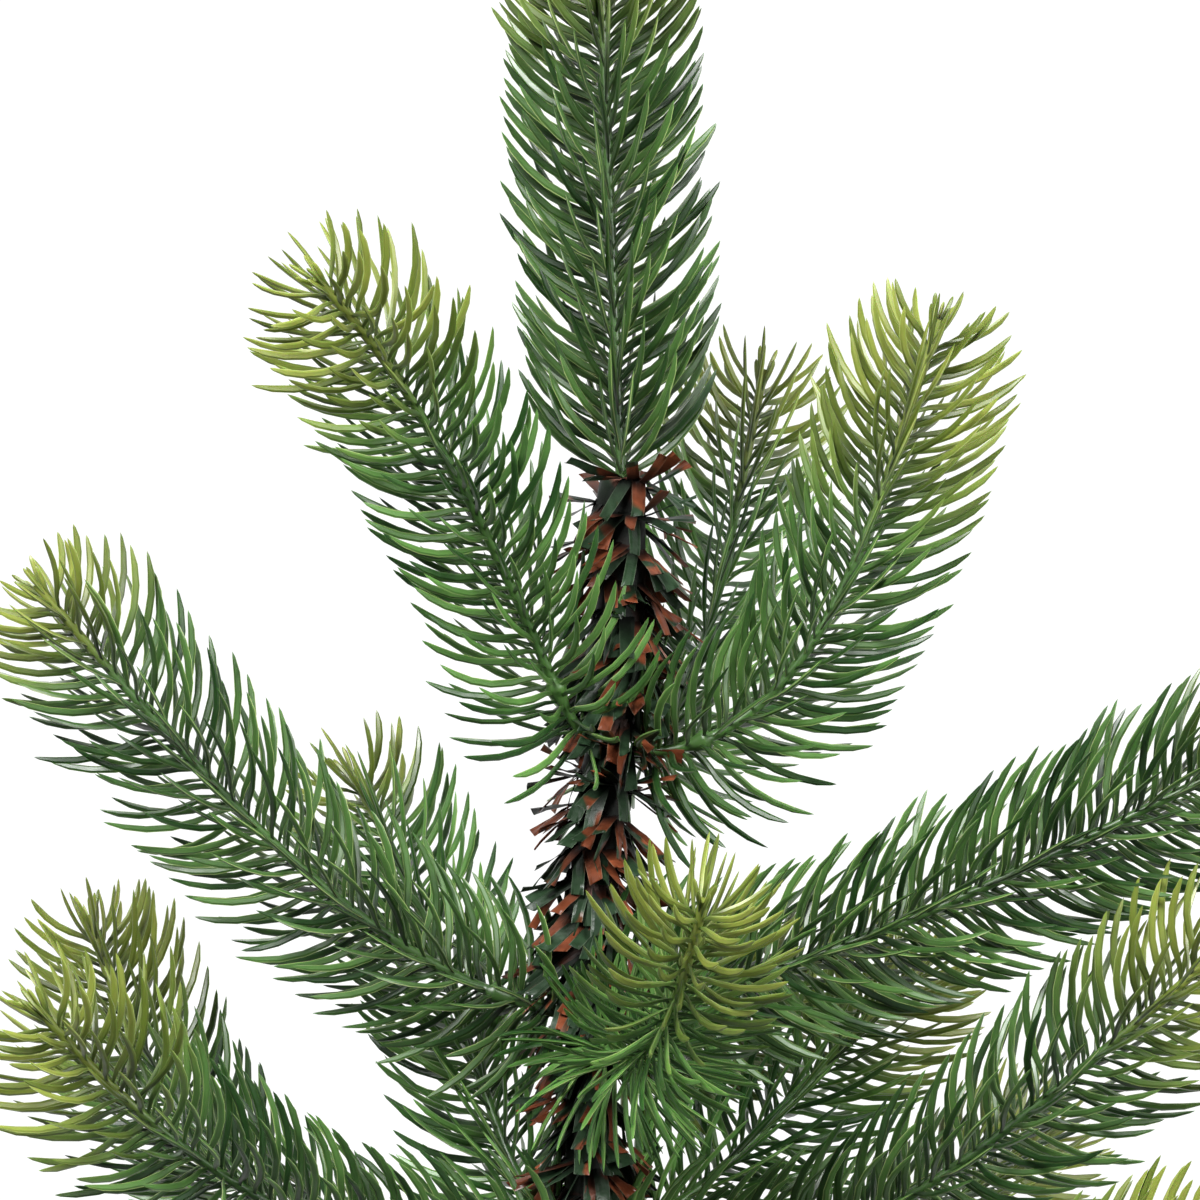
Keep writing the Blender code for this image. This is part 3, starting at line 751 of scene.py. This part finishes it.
needles = hold(tree, feet, {
    "Foot": ("VECTOR", foot),
    "Outward": ("VECTOR", outward),
    "Flat": ("VECTOR", flat),
    "Length": ("FLOAT", length),
    "Leaving": ("FLOAT", leaving),
    "Bend": ("FLOAT", bend),
    "Sweep": ("FLOAT", sweep),
    "Ridge": ("FLOAT", add(tree, MATH, [from_stem, FOOT_RIDGE], operation="MINIMUM")),
    "Chance": ("FLOAT", first["X"]),
    "Cell": ("FLOAT", index),
})
of_needle = needles.outputs
blade, local, flat_map, rim = closed_blade(tree, 6, 8, needle_outline)
standing = {"Points": needles, "Selection": clear, "Instance": blade}
standing = add(tree, "GeometryNodeInstanceOnPoints", standing)
loose = add(tree, "GeometryNodeRealizeInstances", [standing])

# Each needle rises from a short ridge on the stalk and bends towards the sprig's end along its length
spot = add(tree, "ShaderNodeSeparateXYZ", [local])
share = spot.outputs["Z"]
rooted = add(tree, MATH, [1.0, share], operation="SUBTRACT")
rooted = add(tree, MATH, [rooted, 10.0], operation="POWER")
risen = add(tree, MATH, [1.0, rooted], operation="SUBTRACT")
minus_bend = add(tree, MATH, [of_needle["Bend"], -1.0], operation="MULTIPLY")
angle = add(tree, MATH, [minus_bend, share, of_needle["Leaving"]], operation="MULTIPLY_ADD")
middle = add(tree, MATH, [of_needle["Leaving"], angle], operation="ADD")
middle = add(tree, MATH, [middle, 0.5], operation="MULTIPLY")
run = add(tree, MATH, [of_needle["Length"], share], operation="MULTIPLY")
back = add(tree, MATH, [of_needle["Ridge"], rooted], operation="MULTIPLY")
forward = add(tree, MATH, [add(tree, MATH, [middle], operation="COSINE"), run], operation="MULTIPLY")
forward = add(tree, MATH, [forward, back], operation="SUBTRACT")
out = add(tree, MATH, [add(tree, MATH, [middle], operation="SINE"), run], operation="MULTIPLY")
out = add(tree, MATH, [out, risen, FOOT_OFFSET], operation="MULTIPLY_ADD")
heading = turned(tree, ahead, of_needle["Outward"], angle)
face = add(tree, VECTOR, [heading, of_needle["Flat"]], operation="CROSS_PRODUCT")
face = add(tree, VECTOR, [face], operation="NORMALIZE")
flank = add(tree, VECTOR, [face, heading], operation="CROSS_PRODUCT")
beside = add(tree, VECTOR, [ahead, of_needle["Outward"]], operation="CROSS_PRODUCT")
slender = add(tree, "ShaderNodeMapRange", [of_needle["Length"], 5.0 * MM, 16.0 * MM, 0.33, 0.5])
half_width = add(tree, MATH, [given["Needle width"], slender], operation="MULTIPLY")
half_width = add(tree, MATH, [half_width, spot.outputs["X"]], operation="MULTIPLY")
half_thickness = add(tree, MATH, [given["Needle thickness"], 0.5], operation="MULTIPLY")
half_thickness = add(tree, MATH, [half_thickness, spot.outputs["Y"]], operation="MULTIPLY")
swept = add(tree, MATH, [of_needle["Sweep"], share], operation="MULTIPLY")
swept = add(tree, MATH, [swept, run], operation="MULTIPLY")
position = of_needle["Foot"]
for axis, amount in (
    (ahead, forward),
    (of_needle["Outward"], out),
    (beside, swept),
    (flank, half_width),
    (face, half_thickness),
):
    moved = add(tree, VECTOR, [axis, amount], operation="SCALE")
    position = add(tree, VECTOR, [position, moved], operation="ADD")
above_floor = add(tree, VECTOR, [position, (-1.0, -1.0, LOWEST)], operation="MAXIMUM")
shaped = add(tree, "GeometryNodeSetPosition", {"Geometry": loose, "Position": above_floor})
shaped = store(tree, shaped, {"rim": rim, "tone": of_needle["Chance"], "along": share})
shaped = map_blades(tree, shaped, count, of_needle["Cell"], flat_map)
joined = add(tree, "GeometryNodeJoinGeometry")
tree.links.new(stalk.outputs[0], joined.inputs[0])
tree.links.new(shaped.outputs[0], joined.inputs[0])
plain = add(tree, "GeometryNodeRemoveAttribute", {"Geometry": joined, "Name": "from_end"})
whole = add(tree, "GeometryNodeSetMaterial", {"Geometry": plain, "Material": given["Plastic"]})
add(tree, "NodeGroupOutput", [whole])

# Moulded polyethylene: a satin, faintly waxy green that lets some light through, with a pale rim line on
# each needle that is partly its flash line and partly a painted highlight, painted shade on the needles'
# feet, a green painted lighter or darker per sprig for the light it gets, and a yellow-green that grows
# towards the sprig's end
plastic, tree = new_material("moulded green polyethylene")
place = add(tree, "ShaderNodeTexCoord").outputs["Object"]
broad = add(tree, "ShaderNodeTexNoise", {"Vector": place, "Scale": 60.0, "Detail": 2.0})
fine = add(tree, "ShaderNodeTexNoise", {"Vector": place, "Scale": 300.0, "Detail": 1.0})
tone = add(tree, "ShaderNodeAttribute", attribute_name="tone").outputs["Fac"]
mixed = add(tree, MATH, [tone, 0.32, broad.outputs["Fac"]], operation="MULTIPLY_ADD")
old = add(tree, "ShaderNodeMapRange", [mixed, 0.25, 0.75, 0.0, 1.0])
green = blend(tree, old, linear("#183212"), linear("#43632f"))
# Painted light and shade: each sprig's green is made lighter or darker as a whole, for the light it gets
pale = add(tree, "ShaderNodeAttribute", attribute_name="pale").outputs["Fac"]
pale = add(tree, "ShaderNodeCombineXYZ", [pale, pale, pale])
green = blend(tree, 1.0, green, pale, "MULTIPLY")
young_green = blend(tree, old, linear("#505d20"), linear("#7a8339"))
age = add(tree, "ShaderNodeAttribute", attribute_name="age").outputs["Fac"]
share = add(tree, "ShaderNodeAttribute", attribute_name="along").outputs["Fac"]
age = add(tree, MATH, [share, -0.34, age], operation="MULTIPLY_ADD")
age = add(tree, MATH, [broad.outputs["Fac"], 0.3, age], operation="MULTIPLY_ADD")
young = add(tree, "ShaderNodeMapRange", [age, 1.05, 0.3, 0.0, 1.0], interpolation_type="SMOOTHSTEP")
ripe = add(tree, "ShaderNodeMapRange", [share, 0.0, 0.4, 0.5, 1.0])
young = add(tree, MATH, [young, ripe], operation="MULTIPLY")
colour = blend(tree, young, green, young_green)
# Painted shade: the needles darken towards their feet, where they crowd round the stalk
painted_root_shade = add(tree, "ShaderNodeMapRange", [share, 0.0, 0.5, 0.5, 1.0])
painted_root_shade = add(tree, "ShaderNodeCombineXYZ", [painted_root_shade, painted_root_shade, painted_root_shade])
colour = blend(tree, 1.0, colour, painted_root_shade, "MULTIPLY")
# The pale rim line is partly the moulding's flash line and partly a painted highlight, stronger on some
# needles than others
edge = add(tree, "ShaderNodeAttribute", attribute_name="rim").outputs["Fac"]
edge = add(tree, "ShaderNodeMapRange", [edge, 0.82, 1.0, 0.0, 0.6])
flash_and_painted_highlight = add(tree, "ShaderNodeMapRange", [tone, -0.4, 0.9, 0.15, 1.0])
edge = add(tree, MATH, [edge, flash_and_painted_highlight], operation="MULTIPLY")
colour = blend(tree, edge, colour, linear("#c3cf8c"))
satin = add(tree, "ShaderNodeMapRange", [fine.outputs["Fac"], 0.3, 0.7, 0.3, 0.42])
duller_foot = add(tree, "ShaderNodeMapRange", [share, 0.0, 0.4, 0.1, 0.0])
satin = add(tree, MATH, [satin, duller_foot], operation="ADD")
bumps = add(tree, "ShaderNodeBump", {"Strength": 0.05, "Distance": 0.0002, "Height": fine.outputs["Fac"]})
shader = add(
    tree,
    "ShaderNodeBsdfPrincipled",
    {
        "Base Color": colour,
        "Roughness": satin,
        "Normal": bumps,
        "IOR": 1.5,
        "Specular IOR Level": 0.4,
        "Subsurface Weight": 0.35,
        "Subsurface Radius": (0.35, 0.8, 0.2),
        "Subsurface Scale": 0.001,
    },
)
add(tree, "ShaderNodeOutputMaterial", {"Surface": shader})


def stalk_path(sprig):
    """Points along the middle of a stalk, and the direction across the plane that it bends in."""
    azimuth = math.radians(sprig.azimuth)
    outward = np.array((math.sin(azimuth), 0.0, math.cos(azimuth)))
    steps = round(sprig.length)
    along = np.linspace(0.0, 1.0, steps + 1)
    settling = (sprig.leaves - sprig.settles) * (1.0 - along) ** sprig.quickness
    angle = np.radians(sprig.settles + settling + sprig.turns_out * along ** 2)
    directions = np.outer(np.cos(angle), UP_STEM) + np.outer(np.sin(angle), outward)
    start = stem_centre(sprig.height * MM)
    if sprig is LEADER:
        start = start + UP_STEM * GAP
    else:
        lean = abs(math.cos(math.radians(sprig.leaves)))
        start = start + outward * (ROD_RADIUS + GAP + STALK_BASE_RADIUS * lean)
    between = (directions[:-1] + directions[1:]) / 2.0
    moved = np.cumsum(between, axis=0) * (sprig.length * MM / steps)
    return np.vstack((start, start + moved)), np.cross(UP_STEM, outward)


for number, sprig in enumerate(SPRIGS):
    path, sideways = stalk_path(sprig)
    leads = sprig is LEADER
    grown = grow(sprig.name + "_moulding", sprig_tree, path, {
        "Sideways": tuple(sideways),
        "Stalk length": sprig.length * MM,
        "Stalk radius at the stem": STALK_BASE_RADIUS,
        "Stalk radius at the end": STALK_TIP_RADIUS,
        "Collar": 0.0 if leads else COLLAR,
        "First needle": LEADER_FIRST_NEEDLES if leads else FIRST_NEEDLES,
        "Needle spacing": sprig.apart * MM,
        "Young end": sprig.young * MM,
        "Paleness": sprig.pale,
        "Needle length": LEADER_NEEDLE_LENGTH if leads else NEEDLE_LENGTH,
        "Needle width": LEADER_NEEDLE_WIDTH if leads else NEEDLE_WIDTH,
        "Needle thickness": NEEDLE_THICKNESS,
        "Needle bend": NEEDLE_BEND,
        "Angle at the stem": LEADER_ANGLE_BASE if leads else NEEDLE_ANGLE_BASE,
        "Angle along the sprig": NEEDLE_ANGLE,
        "Angle at the end": NEEDLE_ANGLE_TIP,
        "Stem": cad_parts["stem_rod"],
        "Plastic": plastic,
        "Seed": 101 + 7 * number,
    })
    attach(grown, "root")
    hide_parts(sprig.name)

# Floor, light and camera
#
# The branch lies on an opal acrylic sheet that is lit evenly from below, with wide soft light from above.
# The camera looks straight down on it, with the stem's foot below the picture.

SHEET_HALF = 2.5
SHEET_GLOW = 1.08
STUDIO_LIGHT = 0.13

# Opal acrylic: an even white glow that drowns all shadows, and outshines what the sheet reflects
sheet, tree = new_material("opal acrylic, lit from below")
shader = add(
    tree,
    "ShaderNodeBsdfPrincipled",
    {
        "Base Color": linear("#000000"),
        "Roughness": 0.9,
        "Specular IOR Level": 0.0,
        "Emission Color": linear("#ffffff"),
        "Emission Strength": SHEET_GLOW,
    },
)
add(tree, "ShaderNodeOutputMaterial", {"Surface": shader})
floor_mesh = bpy.data.meshes.new("floor")
corners = [(x * SHEET_HALF, y * SHEET_HALF, -0.5 * MM) for x, y in ((-1, -1), (1, -1), (1, 1), (-1, 1))]
floor_mesh.from_pydata(corners, [], [(0, 1, 2, 3)])
floor_mesh.materials.append(sheet)
floor = bpy.data.objects.new("floor", floor_mesh)
bpy.context.scene.collection.objects.link(floor)
floor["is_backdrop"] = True

# The studio round the sheet is dim, and a white backdrop stands wherever the picture looks past the sheet
world = bpy.data.worlds.new("studio")
world.use_nodes = True
tree = world.node_tree
tree.nodes.clear()
seen = add(tree, "ShaderNodeLightPath").outputs["Is Camera Ray"]
glow = add(tree, "ShaderNodeMapRange", [seen, 0.0, 1.0, STUDIO_LIGHT, 1.0])
studio = add(tree, "ShaderNodeBackground", {"Color": linear("#ffffff"), "Strength": glow})
add(tree, "ShaderNodeOutputWorld", {"Surface": studio})
bpy.context.scene.world = world


def soft_box(name, place, width, power):
    """A square lamp that faces the middle of the branch."""
    lamp = bpy.data.lights.new(name, "AREA")
    lamp.size = width
    lamp.energy = power
    holder = bpy.data.objects.new(name, lamp)
    holder.location = place
    aim = Vector((0.0, 0.0, 0.08)) - Vector(place)
    holder.rotation_euler = aim.to_track_quat("-Z", "Y").to_euler()
    bpy.context.scene.collection.objects.link(holder)


soft_box("key_light", (-0.4, 0.75, 1.1), 0.5, 43.0)
soft_box("fill_light", (0.9, 0.25, 0.9), 0.6, 22.0)

# The camera's height above the stem, the side of the picture there, and its middle along the stem
CAMERA_HEIGHT = 1.3
PICTURE_SIDE = 0.24
PICTURE_MIDDLE = 182.0 * MM
camera_data = bpy.data.cameras.new("camera")
camera_data.sensor_fit = "HORIZONTAL"
camera_data.angle = 2.0 * math.atan(PICTURE_SIDE / 2.0 / CAMERA_HEIGHT)
camera_data.clip_end = 10.0
camera = bpy.data.objects.new("camera", camera_data)
camera.location = STEM_FOOT + np.array((0.0, PICTURE_MIDDLE, CAMERA_HEIGHT))
bpy.context.scene.collection.objects.link(camera)
bpy.context.scene.camera = camera
bpy.context.scene.view_settings.view_transform = "Standard"

low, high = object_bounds()
